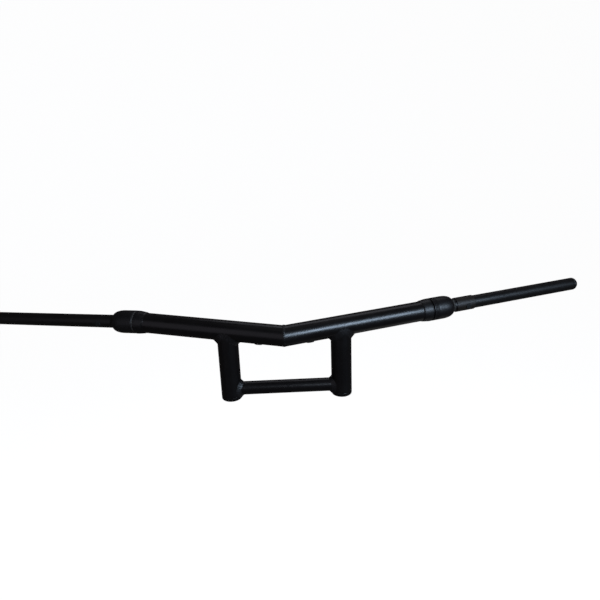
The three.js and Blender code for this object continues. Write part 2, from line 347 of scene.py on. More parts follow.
def outline(corners: Sequence[tuple[float, float, float]], closed: bool) -> np.ndarray:
    """Rounds the corners of a section and spaces its points out.

    A rounded corner is a quadratic curve: it leaves one side at the corner's rounding before
    the corner, is drawn towards the corner, and joins the next side as far after it.

    Args:
        corners: Each corner's radius, height and rounding.
        closed: True if the last corner joins the first.

    Returns:
        The section's points, as radius and height; a closed one doesn't repeat its first point.
    """
    places = np.array([corner[:2] for corner in corners], float)
    turn = np.linspace(0.0, 1.0, CORNER_STEPS)[:, None]
    path = []
    for number, (_, _, rounding) in enumerate(corners):
        here = places[number]
        if rounding == 0:
            path.append(here[None])
            continue
        sides = [places[number - 1] - here, places[(number + 1) % len(places)] - here]
        lengths = [np.linalg.norm(side) for side in sides]
        reach = min(rounding, lengths[0] / 2, lengths[1] / 2)
        start = here + sides[0] / lengths[0] * reach
        stop = here + sides[1] / lengths[1] * reach
        path.append((1 - turn) ** 2 * start + 2 * turn * (1 - turn) * here + turn**2 * stop)
    points = np.concatenate(path)
    if closed:
        points = np.concatenate([points, points[:1]])
        return spaced(points)[:-1]
    return spaced(points)


def tube_outline(outer: float, wall: float, start: float, end: float, edge: float) -> np.ndarray:
    """Draws the closed section of a tube's wall.

    Args:
        outer: The outer radius.
        wall: The wall's thickness.
        start: Where the tube starts along its axis.
        end: Where it ends.
        edge: The rounding of its four edges.

    Returns:
        The section's points, as radius and height.
    """
    inner = outer - wall
    corners = [(outer, start, edge), (outer, end, edge), (inner, end, edge), (inner, start, edge)]
    return outline(corners, closed=True)


def turned(axis: Axis, section: np.ndarray) -> np.ndarray:
    """Carries a section of radius and height once round an axis, as rows of points."""
    return axis.points(section[:, 1][:, None], section[:, 0][:, None], once_round()[None, :])


def make_piece(name: str, grid: np.ndarray, ends: Ends = Ends.RING) -> bpy.types.Object:
    """Makes a smooth closed mesh from rows of points, with its faces pointing outwards.

    Each cell of the grid is a face between two rows and two columns; the columns always close
    into a loop. The sum of the cells' volumes against the origin tells which way they point.

    Args:
        name: The piece's name.
        grid: Rows by columns by three, in millimetres.
        ends: How the rows close.

    Returns:
        The piece, with its place in its mesh.
    """
    rows, columns = grid.shape[:2]
    index = np.arange(rows * columns).reshape(rows, columns)
    after = np.roll(index, -1, axis=0)
    if ends is Ends.POLES:
        index, after = index[:-1], after[:-1]
    cells = np.stack([index, np.roll(index, -1, 1), np.roll(after, -1, 1), after], axis=-1)
    faces = cells.reshape(-1, 4)
    points = grid.reshape(-1, 3) * MM
    one, two, three, four = (points[faces[:, corner]] for corner in range(4))
    volume = np.einsum("ij,ij->", one, np.cross(two, three) + np.cross(three, four))
    if volume < 0:
        faces = faces[:, ::-1]
    mesh = bpy.data.meshes.new(name)
    mesh.from_pydata(points.tolist(), [], faces.tolist())
    if ends is Ends.POLES:
        merge_doubles(mesh)
    mesh.shade_smooth()
    mesh.set_sharp_from_angle(angle=math.radians(CREASE))
    piece = bpy.data.objects.new(name, mesh)
    bpy.context.scene.collection.objects.link(piece)
    return piece


def merge_doubles(mesh: bpy.types.Mesh) -> None:
    """Joins the points that a pole row puts in one place.

    Args:
        mesh: The mesh, changed in place.
    """
    work = bmesh.new()
    work.from_mesh(mesh)
    bmesh.ops.remove_doubles(work, verts=work.verts, dist=1e-7)
    work.to_mesh(mesh)
    work.free()


@dataclass(frozen=True)
class Bead:
    """A weld bead's sizes: how far it reaches on both surfaces, how full it is, and its ripple."""

    leg: float
    fullness: float = 0.75
    lift: float = 0.3
    ripple: float = 0.22
    pitch: float = 2.6
    sunk: float = 0.15
    root: float = 2.0
    rows: int = 11
    set_back: float = 0.4
    crest: float = 0.8

    def grid(
        self, corner: np.ndarray, first: np.ndarray, second: np.ndarray, outward: np.ndarray
    ) -> np.ndarray:
        """Lays the bead along a closed seam.

        Across the seam the face is a quadratic curve from one edge to the other, drawn towards
        the corner. It is lifted by a parabola, and by a ripple like overlapping scales: a raised
        cosine of the length along the seam, set back in the middle so that each scale is an arc.
        A last row inside the metal closes the bead.

        Args:
            corner: The seam's points, where the two surfaces meet.
            first: The bead's edge on one surface, point for point.
            second: The bead's edge on the other.
            outward: Unit vectors out of the seam.

        Returns:
            Rows of points, one row for each line along the seam.
        """
        steps = np.linalg.norm(np.roll(corner, -1, axis=0) - corner, axis=1)
        station = np.concatenate([[0.0], np.cumsum(steps)[:-1]]) / steps.sum()
        scales = max(round(steps.sum() / self.pitch), 1)
        across = np.linspace(0.0, 1.0, self.rows)[:, None]
        hump = 4 * across * (1 - across)
        drawn = corner + 0.5 * self.fullness * (first - corner + second - corner)
        face = (
            ((1 - across) ** 2)[..., None] * first
            + (2 * across * (1 - across))[..., None] * drawn
            + (across**2)[..., None] * second
        )
        phase = scales * station[None, :] - self.set_back * hump
        scale = (0.5 + 0.5 * np.cos(2 * np.pi * phase)) ** self.crest
        lift = self.lift * hump + self.ripple * scale * np.sqrt(hump)
        root = corner - self.root * outward
        return np.concatenate([face + lift[..., None] * outward, root[None]])

    def between(
        self, seam: np.ndarray, tubes: Sequence[tuple[Axis, float]], ways: Sequence[np.ndarray]
    ) -> np.ndarray:
        """Lays the bead where two round tubes meet.

        Each edge lies square to the seam, a leg away from it on its tube's surface.

        Args:
            seam: A closed line of points where the tubes' outsides meet.
            tubes: Each tube's axis and radius.
            ways: For each tube, which way its edge lies from the seam.

        Returns:
            Rows of points.
        """
        run = unit(np.roll(seam, -1, axis=0) - np.roll(seam, 1, axis=0))
        edges = []
        for (axis, radius), way in zip(tubes, ways, strict=True):
            sideways = np.cross(run, axis.away(seam))
            sign = np.sign(np.sum(sideways * way))
            edges.append(axis.onto(seam + sign * self.leg * sideways, radius - self.sunk))
        outward = unit(tubes[0][0].away(seam) + tubes[1][0].away(seam))
        return self.grid(seam, edges[0], edges[1], outward)

    def coped(
        self, seam: np.ndarray, ending: tuple[Axis, float], passing: tuple[Axis, float]
    ) -> np.ndarray:
        """Lays the bead where a coped tube ends on the side of another.

        Args:
            seam: A closed line of points where the tubes' outsides meet.
            ending: The axis and radius of the tube that ends at the seam.
            passing: The axis and radius of the tube that it meets.

        Returns:
            Rows of points.
        """
        axis, middle = ending[0], seam.mean(axis=0)
        back = -np.sign((middle - axis.origin) @ axis.along) * axis.along
        return self.between(seam, (ending, passing), (back, seam - middle))

    def ring(self, axis: Axis, radius: float, height: float, way: float, reach: float) -> np.ndarray:
        """Lays the bead round a tube, against a flat face across it.

        Args:
            axis: The tube's axis.
            radius: The tube's radius.
            height: Where the face is.
            way: 1 if the bead lies on the far side of the face, and -1 on the near side.
            reach: How far the bead reaches up the face.

        Returns:
            Rows of points.
        """
        angles = once_round(SEAM_STEPS)
        corner = axis.points(height, radius, angles)
        first = axis.points(height + way * self.leg, radius - self.sunk, angles)
        second = axis.points(height - way * self.sunk, radius + reach, angles)
        outward = (axis.outward(angles) + way * axis.along) / math.sqrt(2)
        return self.grid(corner, first, second, outward)


# ---- Finishes ----


def linear(colour: str) -> tuple[float, float, float, float]:
    """Turns an sRGB colour to a linear one.

    Args:
        colour: The colour in hex, such as "#101214".

    Returns:
        Linear red, green and blue, and an alpha of one.
    """
    values = [int(colour[start : start + 2], 16) / 255 for start in (1, 3, 5)]
    red, green, blue = (v / 12.92 if v <= 0.04045 else ((v + 0.055) / 1.055) ** 2.4 for v in values)
    return red, green, blue, 1.0


def per_size(size: float) -> float:
    """The texture scale that makes a pattern's features about this many millimetres wide."""
    return 1.0 / (size * MM)


def add_node(
    tree: bpy.types.NodeTree, kind: str, settings: dict[str, Any], inputs: dict[str | int, Any]
) -> bpy.types.Node:
    """Adds a node to a material.

    Args:
        tree: The material's node tree.
        kind: The node's type, without its "ShaderNode".
        settings: Properties of the node itself.
        inputs: Values or other nodes' output sockets, by input name or number.

    Returns:
        The node.
    """
    node = tree.nodes.new(f"ShaderNode{kind}")
    for name, value in settings.items():
        setattr(node, name, value)
    for name, value in inputs.items():
        if isinstance(value, bpy.types.NodeSocket):
            tree.links.new(value, node.inputs[name])
        else:
            node.inputs[name].default_value = value
    return node


def new_material(name: str) -> tuple[bpy.types.Material, bpy.types.NodeTree]:
    """Makes an empty node material.

    Args:
        name: The material's name.

    Returns:
        The material and its node tree.
    """
    material = bpy.data.materials.new(name)
    material.use_nodes = True
    material.node_tree.nodes.clear()
    return material, material.node_tree


@dataclass(frozen=True)
class PowderCoat:
    """Semi-gloss black powder coat, sprayed dry on welded steel and baked.

    The powder melts into a faint orange peel over slow unevenness of the hand-dressed tube, and
    the two break a highlight up along its length. Grit under the coat shows as grey specks.
    Real grit is too fine to show, so it is drawn at about a millimetre.
    """

    name: str = "semi-gloss black powder coat"
    colour: str = "#0c0a0b"
    sheen_colour: str = "#121011"
    speck_colour: str = "#2e2d30"
    bare_colour: str = "#594d42"
    roughness: tuple[float, float] = (0.25, 0.34)
    bare_roughness: float = 0.5
    peel: float = 2.0
    peel_depth: float = 0.006
    unevenness: float = 34.0
    unevenness_depth: float = 0.35
    grit: float = 1.3
    grit_share: float = 0.0
    grit_depth: float = 0.012
    speck_fade: float = 0.08
    bare_below: float | None = None
    bare_fade: float = 0.2
    chip: float = 3.0
    chip_reach: float = 0.9

    def material(self) -> bpy.types.Material:
        """Builds the coat's material."""
        material, tree = new_material(self.name)
        place = add_node(tree, "TexCoord", {}, {}).outputs["Object"]
        pattern = {"Vector": place, "Scale": per_size(self.unevenness), "Detail": 3.0}
        patches = add_node(tree, "TexNoise", {}, pattern).outputs["Fac"]
        tints = {
            Mix.SHARE: patches,
            Mix.FIRST_COLOUR: linear(self.colour),
            Mix.SECOND_COLOUR: linear(self.sheen_colour),
        }
        tint = add_node(tree, "Mix", MIX_COLOURS, tints).outputs[MIXED_COLOUR]
        pattern = {"Vector": place, "Scale": per_size(self.grit), "Detail": 1.0}
        grit = add_node(tree, "TexNoise", {}, pattern).outputs["Fac"]
        edge = 0.72 - 0.3 * self.grit_share
        bounds = {
            "Value": grit,
            "From Min": edge,
            "From Max": edge + self.speck_fade,
            "To Max": 0.6 if self.grit_share else 0.15,
        }
        specks = add_node(tree, "MapRange", {}, bounds).outputs["Result"]
        tints = {
            Mix.SHARE: specks,
            Mix.FIRST_COLOUR: tint,
            Mix.SECOND_COLOUR: linear(self.speck_colour),
        }
        colour = add_node(tree, "Mix", MIX_COLOURS, tints).outputs[MIXED_COLOUR]
        smooth, dull = self.roughness
        bounds = {
            "Value": patches, "From Min": 0.3, "From Max": 0.7, "To Min": smooth, "To Max": dull
        }
        rough = add_node(tree, "MapRange", {}, bounds).outputs["Result"]
        metallic: Socket | float = 0.0
        if self.bare_below is not None:
            colour, rough, metallic = self._worn(tree, place, colour, rough)
        surface = {
            "Base Color": colour,
            "Roughness": rough,
            "Metallic": metallic,
            "IOR": 1.5,
            "Normal": self._relief(tree, place, patches, grit),
        }
        shader = add_node(tree, "BsdfPrincipled", {}, surface)
        add_node(tree, "OutputMaterial", {}, {"Surface": shader.outputs[0]})
        return material

    def _worn(
        self, tree: bpy.types.NodeTree, place: Socket, colour: Socket, rough: Socket
    ) -> tuple[Socket, Socket, Socket]:
        """Rubs the coat through to bare steel below a ragged line round a foot.

        Args:
            tree: The material's node tree.
            place: Object coordinates.
            colour: The coat's colour.
            rough: The coat's roughness.

        Returns:
            Colour, roughness and metallic of the worn coat.
        """
        height = add_node(tree, "SeparateXYZ", {}, {"Vector": place}).outputs["Z"]
        pattern = {"Vector": place, "Scale": per_size(self.chip), "Detail": 3.0}
        chips = add_node(tree, "TexNoise", {}, pattern).outputs["Fac"]
        reach = self.chip_reach * MM
        bounds = {
            "Value": chips, "From Min": 0.2, "From Max": 0.8, "To Min": -reach, "To Max": reach
        }
        ragged = add_node(tree, "MapRange", {}, bounds).outputs["Result"]
        terms = {0: height, 1: ragged}
        level = add_node(tree, "Math", {"operation": "ADD"}, terms).outputs[0]
        line, fade = self.bare_below * MM, self.bare_fade * MM
        bounds = {
            "Value": level,
            "From Min": line - fade,
            "From Max": line + fade,
            "To Min": 1.0,
            "To Max": 0.0,
        }
        bare = add_node(tree, "MapRange", {}, bounds).outputs["Result"]
        tints = {
            Mix.SHARE: bare,
            Mix.FIRST_COLOUR: colour,
            Mix.SECOND_COLOUR: linear(self.bare_colour),
        }
        worn = add_node(tree, "Mix", MIX_COLOURS, tints).outputs[MIXED_COLOUR]
        values = {
            Mix.SHARE: bare, Mix.FIRST_VALUE: rough, Mix.SECOND_VALUE: self.bare_roughness
        }
        return worn, add_node(tree, "Mix", {}, values).outputs[0], bare

    def _relief(
        self, tree: bpy.types.NodeTree, place: Socket, patches: Socket, grit: Socket
    ) -> Socket:
        """Stacks the unevenness, the orange peel and the grit as three bumps.

        Args:
            tree: The material's node tree.
            place: Object coordinates.
            patches: The height of the slow unevenness.
            grit: The height of the grit.

        Returns:
            The normal of the relief.
        """
        pattern = {"Vector": place, "Scale": per_size(self.peel), "Detail": 1.0}
        peel = add_node(tree, "TexNoise", {}, pattern).outputs["Fac"]
        layers = (
            (patches, self.unevenness_depth), (peel, self.peel_depth), (grit, self.grit_depth)
        )
        below: dict[str | int, Any] = {}
        for height, depth in layers:
            bump = {"Strength": 1.0, "Distance": depth * MM, "Height": height, **below}
            below = {"Normal": add_node(tree, "Bump", {}, bump).outputs[0]}
        return below["Normal"]


@dataclass(frozen=True)
class MouldedPolymer:
    """Moulded black nylon or rubber: dull, with the fine even grain of a spark-eroded mould.

    Real grain is finer, and is drawn at under a millimetre so that it can show at all.
    """

    name: str
    colour: str
    pale_colour: str
    roughness: tuple[float, float]
    clouds: float = 9.0
    grain: float = 0.8
    grain_depth: float = 0.03

    def material(self) -> bpy.types.Material:
        """Builds the polymer's material."""
        material, tree = new_material(self.name)
        place = add_node(tree, "TexCoord", {}, {}).outputs["Object"]
        pattern = {"Vector": place, "Scale": per_size(self.clouds), "Detail": 3.0}
        clouds = add_node(tree, "TexNoise", {}, pattern).outputs["Fac"]
        tints = {
            Mix.SHARE: clouds,
            Mix.FIRST_COLOUR: linear(self.colour),
            Mix.SECOND_COLOUR: linear(self.pale_colour),
        }
        colour = add_node(tree, "Mix", MIX_COLOURS, tints).outputs[MIXED_COLOUR]
        pattern = {"Vector": place, "Scale": per_size(self.grain), "Detail": 2.0}
        grain = add_node(tree, "TexNoise", {}, pattern).outputs["Fac"]
        bump = {"Strength": 1.0, "Distance": self.grain_depth * MM, "Height": grain}
        smooth, dull = self.roughness
        bounds = {
            "Value": clouds, "From Min": 0.3, "From Max": 0.7, "To Min": smooth, "To Max": dull
        }
        surface = {
            "Base Color": colour,
            "Roughness": add_node(tree, "MapRange", {}, bounds).outputs["Result"],
            "IOR": 1.5,
            "Normal": add_node(tree, "Bump", {}, bump).outputs[0],
        }
        shader = add_node(tree, "BsdfPrincipled", {}, surface)
        add_node(tree, "OutputMaterial", {}, {"Surface": shader.outputs[0]})
        return material


@dataclass(frozen=True)
class CutSteel:
    """Freshly tapped plain steel: grey metal with a slight brown film, oily in the cuts."""

    name: str = "tapped plain steel"
    colour: str = "#77736d"
    film_colour: str = "#574a3c"
    film: float = 4.0
    roughness: tuple[float, float] = (0.3, 0.5)

    def material(self) -> bpy.types.Material:
        """Builds the steel's material."""
        material, tree = new_material(self.name)
        place = add_node(tree, "TexCoord", {}, {}).outputs["Object"]
        pattern = {"Vector": place, "Scale": per_size(self.film), "Detail": 4.0}
        film = add_node(tree, "TexNoise", {}, pattern).outputs["Fac"]
        tints = {
            Mix.SHARE: film,
            Mix.FIRST_COLOUR: linear(self.colour),
            Mix.SECOND_COLOUR: linear(self.film_colour),
        }
        smooth, dull = self.roughness
        bounds = {
            "Value": film, "From Min": 0.3, "From Max": 0.7, "To Min": smooth, "To Max": dull
        }
        surface = {
            "Base Color": add_node(tree, "Mix", MIX_COLOURS, tints).outputs[MIXED_COLOUR],
            "Roughness": add_node(tree, "MapRange", {}, bounds).outputs["Result"],
            "Metallic": 1.0,
        }
        shader = add_node(tree, "BsdfPrincipled", {}, surface)
        add_node(tree, "OutputMaterial", {}, {"Surface": shader.outputs[0]})
        return material


class Finishes:
    """The bar's materials, each built once."""

    def __init__(self) -> None:
        """Builds every material; each comment says what the finish gives the eye."""
        # A deep black with a soft highlight that wavers along the tube.
        self.coat = PowderCoat().material()
        # Duller and speckled, because the dome was left rough under its coat.
        self.dome = PowderCoat(
            name="powder coat over gritty collar", grit_share=0.4, roughness=(0.4, 0.52)
        ).material()
        # Between the two: a turned face, smoother than the dome and duller than tube.
        self.turned_coat = PowderCoat(
            name="powder coat over turned steel", grit_share=0.25, roughness=(0.36, 0.46)
        ).material()
        # A wider and weaker highlight than on the main tubes.
        self.control_coat = PowderCoat(
            name="satin powder coat on the control tubes", roughness=(0.36, 0.44)
        ).material()
        # A brownish dull black, as where hands and clamps have rubbed a thin coat.
        self.sleeve = PowderCoat(
            name="thin scuffed coat on the sleeve",
            colour="#15110e",
            sheen_colour="#241c17",
            speck_colour="#3f352d",
            grit_share=0.3,
            roughness=(0.46, 0.58),
        ).material()
        # A slightly greyer black, so that the ripple can be read.
        self.weld = PowderCoat(
            name="powder coat over weld bead",
            colour="#0f0d0e",
            sheen_colour="#171516",
            speck_colour="#3a3739",
            grit_share=0.35,
            roughness=(0.32, 0.48),
        ).material()
        # A dark grey, matt band where the coat is thin. On the left joint bead the pale grey is
        # partly a painted highlight of the ring.
        self.scuffed_weld_and_highlight = PowderCoat(
            name="thin scuffed coat over weld bead",
            colour="#2c2b2b",
            sheen_colour="#45423f",
            speck_colour="#6a655f",
            grit_share=0.5,
            roughness=(0.45, 0.6),
        ).material()
        # The main coat with a thin ragged rim of bare brownish steel.
        self.foot = PowderCoat(name="powder coat rubbed off at the foot", bare_below=0.7).material()
        # Dull grey-black, without the coat's highlight.
        self.nylon = MouldedPolymer(
            "moulded black nylon", "#0c0c0d", "#151516", (0.42, 0.55)
        ).material()
        # The dullest black of the bar.
        self.rubber = MouldedPolymer(
            "moulded black rubber", "#0a0a0a", "#121212", (0.65, 0.8), grain=0.6
        ).material()
        # Grey metal, seen only up the risers' bores.
        self.steel = CutSteel().material()


# ---- Sub-assemblies ----


@dataclass
class SubAssembly:
    """A group of the bar's pieces, with what every group needs to make and dress them."""

    layout: Layout
    finishes: Finishes
    made: list[bpy.types.Object] = field(default_factory=list)

    @property
    def sizes(self) -> BarSizes:
        """The bar's sizes."""
        return self.layout.sizes

    def dress(
        self, piece: bpy.types.Object, finish: bpy.types.Material, slot: Slot | None, *nodes: str
    ) -> None:
        """Gives a piece its finish and its body, and hides the nodes that it stands for.

        Args:
            piece: The piece.
            finish: Its material.
            slot: The record's slot for the piece, if there is one. Not used.
            nodes: The nodes that it replaces.
        """
        piece.data.materials.append(finish)
        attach(piece, BODY)
        if nodes:
            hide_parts(*nodes)
        self.made.append(piece)
        LOG.info("%s: %d faces", piece.name, len(piece.data.polygons))

    def fine(
        self,
        node: str,
        grid: np.ndarray,
        finish: bpy.types.Material,
        slot: Slot,
        ends: Ends = Ends.RING,
    ) -> None:
        """Makes the fine surface that stands for a node.

        Args:
            node: The node's name, which the piece is named after.
            grid: Rows of points.
            finish: The piece's material.
            slot: The record's slot.
            ends: How the rows close.
        """
        self.dress(make_piece(f"fine_{node}", grid, ends), finish, slot, node)


@dataclass
class MainTubes(SubAssembly):
    """The two fat tubes, mitred at the V, and the weld over the mitre."""

    edge: float = 0.5
    mitre_reach: float = 60.0
    bead: Bead = Bead(leg=2.8, fullness=0.9, lift=0.35, ripple=0.35, pitch=2.8)

    def build(self) -> None:
        """Makes both tubes and the weld."""
        for side in Side:
            self.tube(side)
        self.weld()

    def _mitre(self, axis: Axis, side: Side, radii: np.ndarray, angles: np.ndarray) -> np.ndarray:
        """Finds how far along its axis a tube's wall meets the plane of the mitre, x = 0.

        Args:
            axis: The tube's axis.
            side: The half of the bar.
            radii: Distances of the wall from the axis.
            angles: Angles round the tube.

        Returns:
            Heights along the axis.
        """
        sideways = axis.outward(angles)[..., 0]
        start = axis.origin[0] + radii * sideways - side.value * self.sizes.gap / 2
        return -start / axis.along[0]

    def tube(self, side: Side) -> None:
        """Makes one tube: a turned wall whose inner end is sheared onto the mitre's plane.

        Args:
            side: The half of the bar.
        """
        sizes = self.sizes
        axis = self.layout.arm(side)
        end = sizes.arm_length - sizes.collar_end_wall
        section = tube_outline(sizes.main_od / 2, sizes.main_wall, 0.0, end, self.edge)
        angles = once_round()[None, :]
        radii, heights = section[:, 0][:, None], section[:, 1][:, None]
        shear = self._mitre(axis, side, radii, angles) * (1 - eased(heights, 0.0, self.mitre_reach))
        grid = axis.points(heights + shear, radii, angles)
        name = f"main_tube_{side.label}"
        self.fine(name, grid, self.finishes.coat, Slot.COAT)

    def weld(self) -> None:
        """Makes the bead over the mitre, along the ellipse where the two outsides meet."""
        radius = self.sizes.main_od / 2
        right, left = self.layout.arm(Side.RIGHT), self.layout.arm(Side.LEFT)
        angles = once_round(SEAM_STEPS)
        reach = -(right.origin[0] + radius * right.outward(angles)[:, 0]) / right.along[0]
        seam = right.points(reach, radius, angles)
        tubes = ((right, radius), (left, radius))
        grid = self.bead.between(seam, tubes, (right.along, left.along))
        self.fine("centre_weld", grid, self.finishes.weld, Slot.WELD)


@dataclass
class Risers(SubAssembly):
    """The two risers: coped tube, fillet under the main tube, rounded foot and its thread."""

    edge: float = 0.5
    cope_reach: float = 45.0
    soft_peak: float = 3.5
    foot_reach: float = 5.2
    bung_length: float = 30.0
    thread_outer: float = 6.1
    thread_inner: float = 5.1
    thread_pitch: float = 1.75
    thread_margin: float = 0.6
    thread_play: float = 0.1
    thread_run_in: float = 1.0
    thread_flat: float = 1.25
    thread_rows: int = 240
    bead: Bead = Bead(leg=6.3, fullness=0.66, lift=0.15, ripple=0.34, pitch=3.2)

    def build(self) -> None:
        """Makes both risers."""
        for side in Side:
            self.tube(side)
            self.weld(side)
            self.foot(side)
            self.thread(side)

    def tube(self, side: Side) -> None:
        """Makes a riser's tube: a turned wall whose top is stretched up onto the saddle.

        Args:
            side: The half of the bar.
        """
        sizes = self.sizes
        axis = self.layout.riser(side)
        foot = sizes.bung_flange + sizes.gap
        top = float(self.layout.saddle(side, np.array([0.0]), np.array([0.0]), 0.0)[0])
        section = tube_outline(sizes.riser_od / 2, sizes.riser_wall, foot, top, self.edge)
        angles = once_round()[None, :]
        radii, heights = section[:, 0][:, None], section[:, 1][:, None]
        shape = np.broadcast_arrays(radii, angles)
        saddle = self.layout.saddle(side, shape[0], shape[1], self.soft_peak) - sizes.gap
        stretch = (saddle - top) * eased(heights, top - self.cope_reach, top)
        grid = axis.points(heights + stretch, radii, angles)
        name = f"riser_tube_{side.label}"
        self.fine(name, grid, self.finishes.coat, Slot.COAT)

    def weld(self, side: Side) -> None:
        """Makes the fillet between a riser and its main tube.

        Args:
            side: The half of the bar.
        """
        axis, arm = self.layout.riser(side), self.layout.arm(side)
        radius = self.sizes.riser_od / 2
        angles = once_round(SEAM_STEPS)
        heights = self.layout.saddle(side, np.full(angles.shape, radius), angles, self.soft_peak)
        seam = axis.points(heights, radius, angles)
        grid = self.bead.coped(seam, (axis, radius), (arm, self.sizes.main_od / 2))
        name = f"riser_weld_{side.label}"
        self.fine(name, grid, self.finishes.weld, Slot.WELD)

    def foot(self, side: Side) -> None:
        """Makes the bung that forms a riser's foot, with a bore for the thread.

        Args:
            side: The half of the bar.
        """
        sizes = self.sizes
        outer = sizes.riser_od / 2
        spigot = outer - sizes.riser_wall - sizes.gap
        bore = self.thread_outer
        section = outline(
            [
                (bore, 0.0, 0.5),
                (outer, 0.0, self.foot_reach),
                (outer, sizes.bung_flange, self.edge),
                (spigot, sizes.bung_flange, 0.3),
                (spigot, self.bung_length, 1.0),
                (bore, self.bung_length, 0.5),
            ],
            closed=True,
        )
        grid = turned(self.layout.riser(side), section)
        self.fine(f"riser_bung_{side.label}", grid, self.finishes.foot, Slot.COAT)

    def thread(self, side: Side) -> None:
        """Makes the thread in a foot's bore.

        The inner wall's radius rises and falls once in each pitch along the bore, as a triangle
        wave with its point cut off, and the wave moves on by one pitch in each turn.

        Args:
            side: The half of the bar.
        """
        axis = self.layout.riser(side)
        start, end = self.thread_margin, self.bung_length - self.thread_margin
        heights = np.linspace(start, end, self.thread_rows)[:, None]
        angles = once_round()[None, :]
        wave = np.abs(((heights / self.thread_pitch - angles / (2 * np.pi)) % 1.0) * 2 - 1)
        crest = self.thread_outer - self.thread_play
        depth = crest - self.thread_inner
        fade = eased(heights, start, start + self.thread_run_in)
        inner = crest - depth * np.minimum(wave * self.thread_flat, 1.0) * fade
        grid = np.concatenate(
            [
                axis.points(heights, inner, angles),
                axis.points(np.array([[end], [start]]), self.thread_outer - 0.02, angles),
            ]
        )
        self.dress(make_piece(f"riser_thread_{side.label}", grid), self.finishes.steel, None)


@dataclass
class Brace(SubAssembly):
    """The thin cross tube between the risers, with a fillet round each end."""

    edge: float = 0.4
    cope_reach: float = 30.0
    bead: Bead = Bead(leg=4.8, fullness=0.62, lift=0.15, ripple=0.22, pitch=2.6)

    def _face(self, side: Side, axis: Axis, radii: np.ndarray, angles: np.ndarray) -> np.ndarray:
        """Finds how far along the brace its wall meets a riser's round face.

        Args:
            side: The half of the bar.
            axis: The brace's axis.
            radii: Distances of the wall from the axis.
            angles: Angles round the brace.

        Returns:
            Heights along the axis.
        """
        riser = self.layout.riser(side)
        aside = radii * axis.outward(angles)[..., 1]
        reach = np.sqrt((self.sizes.riser_od / 2) ** 2 - aside**2)
        return riser.origin[0] - axis.origin[0] - side.value * reach

    def build(self) -> None:
        """Makes the tube and both fillets."""
        sizes = self.sizes
        axis = self.layout.brace
        radius = sizes.brace_od / 2
        half = abs(float(self._face(Side.RIGHT, axis, np.array([0.0]), np.array([0.0]))[0]))
        section = tube_outline(radius, sizes.brace_wall, -half, half, self.edge)
        angles = once_round()[None, :]
        radii, heights = section[:, 0][:, None], section[:, 1][:, None]
        shift = np.zeros(np.broadcast_shapes(radii.shape, angles.shape))
        for side in Side:
            face = self._face(side, axis, radii, angles) - side.value * sizes.gap
            nearness = eased(side.value * heights, half - self.cope_reach, half)
            shift += (face - side.value * half) * nearness
        grid = axis.points(heights + shift, radii, angles)
        self.fine("brace_tube", grid, self.finishes.coat, Slot.COAT)
        for side in Side:
            self.weld(side)

    def weld(self, side: Side) -> None:
        """Makes the fillet round one end of the brace.

        Args:
            side: The half of the bar.
        """
        axis, riser = self.layout.brace, self.layout.riser(side)
        radius = self.sizes.brace_od / 2
        angles = once_round(SEAM_STEPS)
        seam = axis.points(self._face(side, axis, np.array(radius), angles), radius, angles)
        grid = self.bead.coped(seam, (axis, radius), (riser, self.sizes.riser_od / 2))
        name = f"brace_weld_{side.label}"
        self.fine(name, grid, self.finishes.weld, Slot.WELD)


